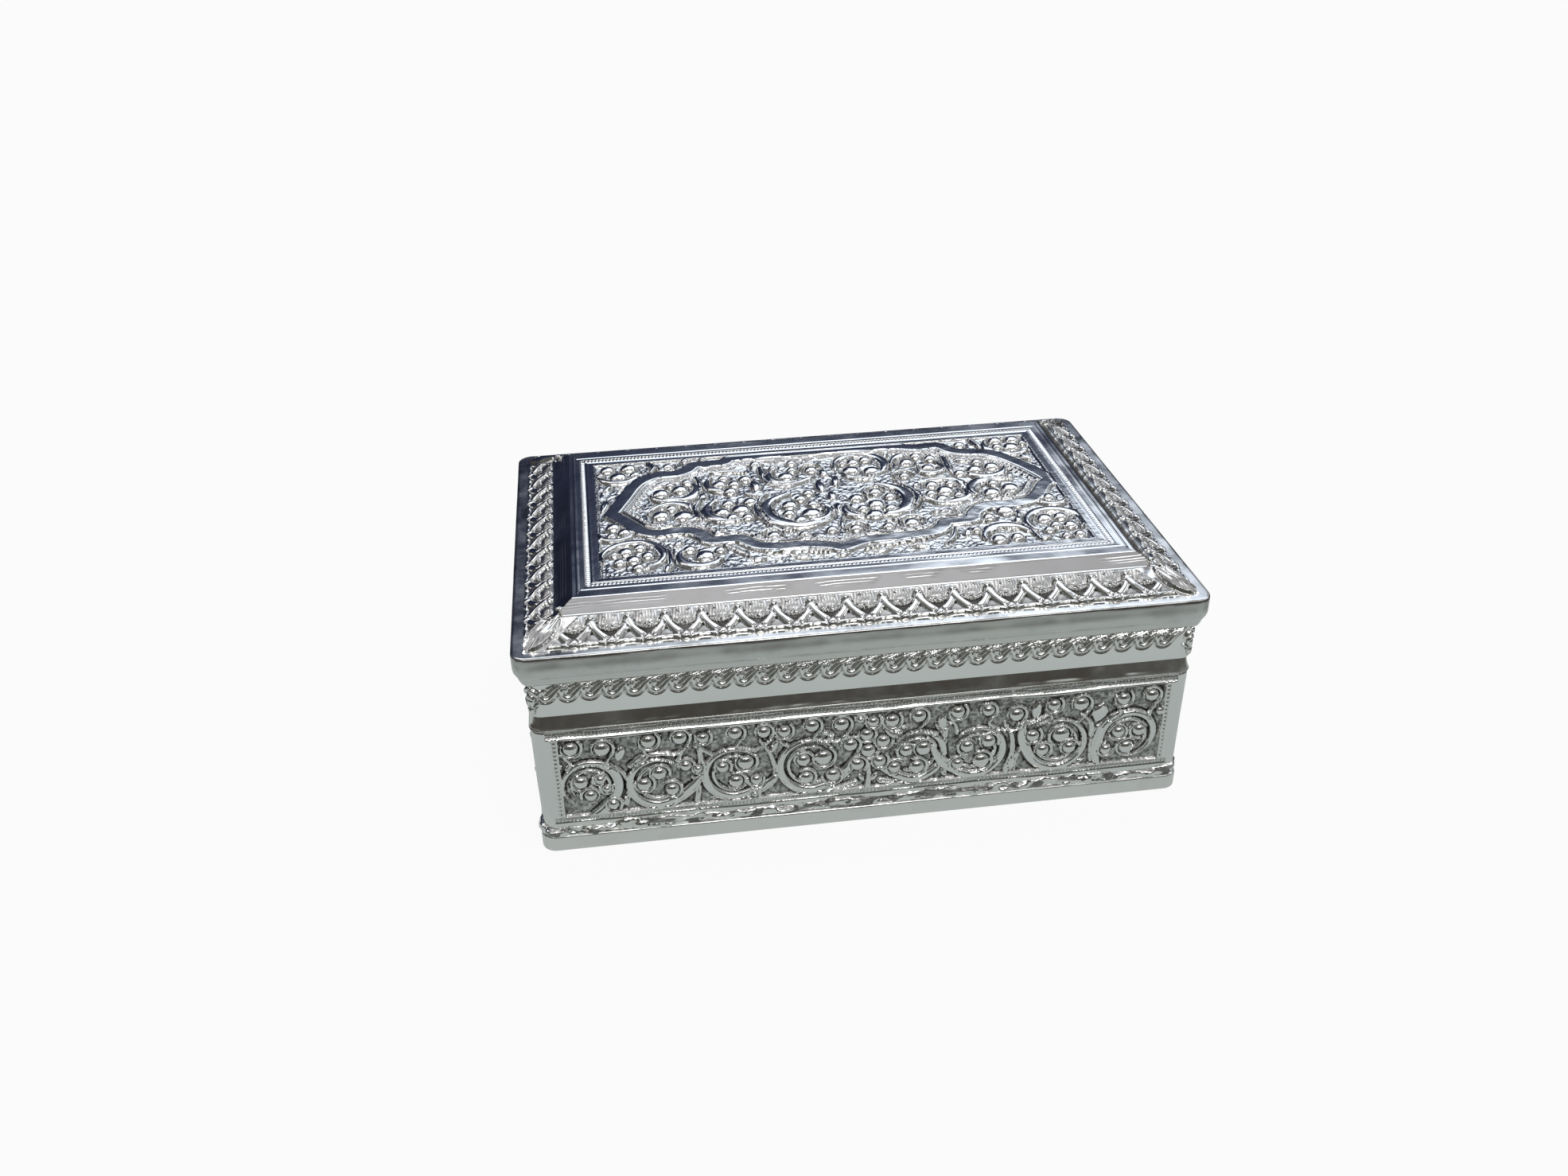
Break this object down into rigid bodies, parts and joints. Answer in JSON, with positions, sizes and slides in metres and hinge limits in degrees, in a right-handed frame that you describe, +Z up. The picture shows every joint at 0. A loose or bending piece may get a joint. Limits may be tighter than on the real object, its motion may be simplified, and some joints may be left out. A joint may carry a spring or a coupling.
{
  "type": "keepsake box",
  "caption": "Rectangular silver keepsake box with a hinged stepped lid, chased scroll panels, moulded rim and plinth, and a velvet lining.",
  "frame": {"origin": "centre of the base, on the surface that the box stands on", "axes": "+X along the long side to the right seen from the front, -Y towards the front, +Z up; the hinge is at the back, +Y"},
  "size_m": [0.12, 0.083, 0.0462],
  "materials": {
    "plain_silver": "polished silver",
    "chased_silver": "chased silver with darkened recesses",
    "velvet": "dark red cotton velvet"
  },
  "bodies": {
    "box": {"base_plate": "plain_silver", "plinth_front": "plain_silver", "plinth_right": "plain_silver", "plinth_back": "plain_silver", "plinth_left": "plain_silver", "solder_wire": "chased_silver", "wall_front": "chased_silver", "wall_right": "chased_silver", "wall_back": "chased_silver", "wall_left": "chased_silver", "shoulder_front": "plain_silver", "shoulder_right": "plain_silver", "shoulder_back": "plain_silver", "shoulder_left": "plain_silver", "bezel_front": "plain_silver", "bezel_right": "plain_silver", "bezel_back": "plain_silver", "bezel_left": "plain_silver", "lining_floor": "velvet", "lining_front": "velvet", "lining_right": "velvet", "lining_back": "velvet", "lining_left": "velvet", "body_knuckles": "plain_silver", "hinge_pin": "plain_silver"},
    "lid": {"skirt_front": "chased_silver", "skirt_right": "chased_silver", "skirt_back": "chased_silver", "skirt_left": "chased_silver", "rim_front": "plain_silver", "rim_right": "plain_silver", "rim_back": "plain_silver", "rim_left": "plain_silver", "petals_front": "chased_silver", "petals_right": "chased_silver", "petals_back": "chased_silver", "petals_left": "chased_silver", "step_front": "plain_silver", "step_right": "plain_silver", "step_back": "plain_silver", "step_left": "plain_silver", "top_panel": "chased_silver", "lid_lining": "velvet", "lid_knuckles": "plain_silver"}
  },
  "joints": [
    {"name": "lid_hinge", "type": "hinge", "parent": "box", "child": "lid", "pos_m": [0, 0.0402, 0.0283], "axis": [-1, 0, 0], "range_deg": [0, 105]}
  ]
}
